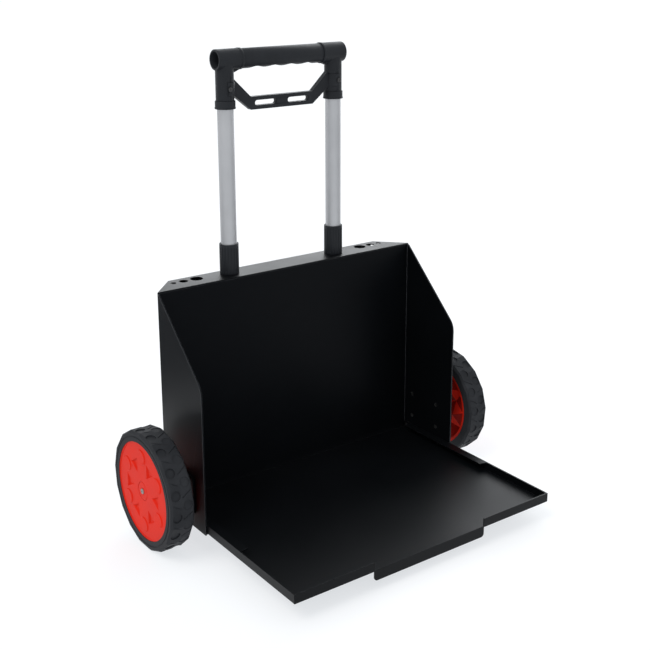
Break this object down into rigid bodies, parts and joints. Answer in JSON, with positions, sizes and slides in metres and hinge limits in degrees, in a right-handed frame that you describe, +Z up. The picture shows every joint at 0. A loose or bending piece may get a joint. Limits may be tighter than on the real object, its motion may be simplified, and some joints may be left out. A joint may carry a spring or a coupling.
{
  "type": "folding tool case trolley",
  "caption": "Folding two-wheeled trolley: steel shell with sloped cheeks, a fold-up platform, a tool ledge and a handle that slides down on two tubes.",
  "frame": {"origin": "on the floor, below the middle of the whole object's box", "axes": "+X along the wheel axles to the right, +Y towards the back, so that the platform points along -Y, +Z up"},
  "size_m": [0.608, 0.39, 0.7162],
  "materials": {
    "powder_coat": "satin black powder coat",
    "zinc_steel": "zinc plated",
    "black_steel": "black oxide",
    "tube_aluminium": "satin anodised",
    "black_plastic": "fine moulded grain",
    "red_plastic": "moulded",
    "nylon": "plain",
    "tyre": "moulded tread",
    "foot_rubber": "plain"
  },
  "bodies": {
    "chassis": {"axle_bolt_left": "zinc_steel", "axle_bolt_right": "zinc_steel", "axle_bracket_left": "powder_coat", "axle_bracket_right": "powder_coat", "axle_cap_left": "red_plastic", "axle_cap_right": "red_plastic", "axle_washer_left": "zinc_steel", "axle_washer_right": "zinc_steel", "body_shell": "powder_coat", "cheek_rivets": "zinc_steel", "guide_collar_left": "black_plastic", "guide_collar_right": "black_plastic", "guide_tube_left": "powder_coat", "guide_tube_right": "powder_coat", "hinge_clip_left": "black_steel", "hinge_clip_right": "black_steel", "hinge_pin_left": "black_steel", "hinge_pin_right": "black_steel", "lower_bracket": "powder_coat", "stub_axle_left": "zinc_steel", "stub_axle_right": "zinc_steel", "tool_ledge": "powder_coat", "tube_saddle_left": "powder_coat", "tube_saddle_right": "powder_coat"},
    "platform": {"foot_studs": "zinc_steel", "platform_foot_left": "foot_rubber", "platform_foot_right": "foot_rubber", "platform_tray": "powder_coat"},
    "handle": {"brace": "black_plastic", "brace_screws": "black_steel", "cross_tube": "zinc_steel", "grip": "black_plastic", "handle_tee_left": "black_plastic", "handle_tee_right": "black_plastic", "handle_tube_left": "tube_aluminium", "handle_tube_right": "tube_aluminium", "leg_ring_left": "black_plastic", "leg_ring_right": "black_plastic", "slide_bush_left": "nylon", "slide_bush_right": "nylon", "tube_plug_left": "black_plastic", "tube_plug_right": "black_plastic"},
    "wheel_left": {"hub_left": "red_plastic", "tyre_left": "tyre", "wheel_bush_left": "nylon"},
    "wheel_right": {"hub_right": "red_plastic", "tyre_right": "tyre", "wheel_bush_right": "nylon"}
  },
  "joints": [
    {"name": "platform_fold", "type": "hinge", "parent": "chassis", "child": "platform", "pos_m": [0, 0.142, 0.039], "axis": [-1, 0, 0], "range_deg": [0, 90]},
    {"name": "handle_slide", "type": "slide", "parent": "chassis", "child": "handle", "axis": [0, 0, 1], "range_m": [-0.208, 0]},
    {"name": "wheel_left_spin", "type": "hinge", "parent": "chassis", "child": "wheel_left", "pos_m": [-0.285, 0.102, 0.09], "axis": [1, 0, 0], "continuous": true},
    {"name": "wheel_right_spin", "type": "hinge", "parent": "chassis", "child": "wheel_right", "pos_m": [0.285, 0.102, 0.09], "axis": [1, 0, 0], "continuous": true}
  ]
}
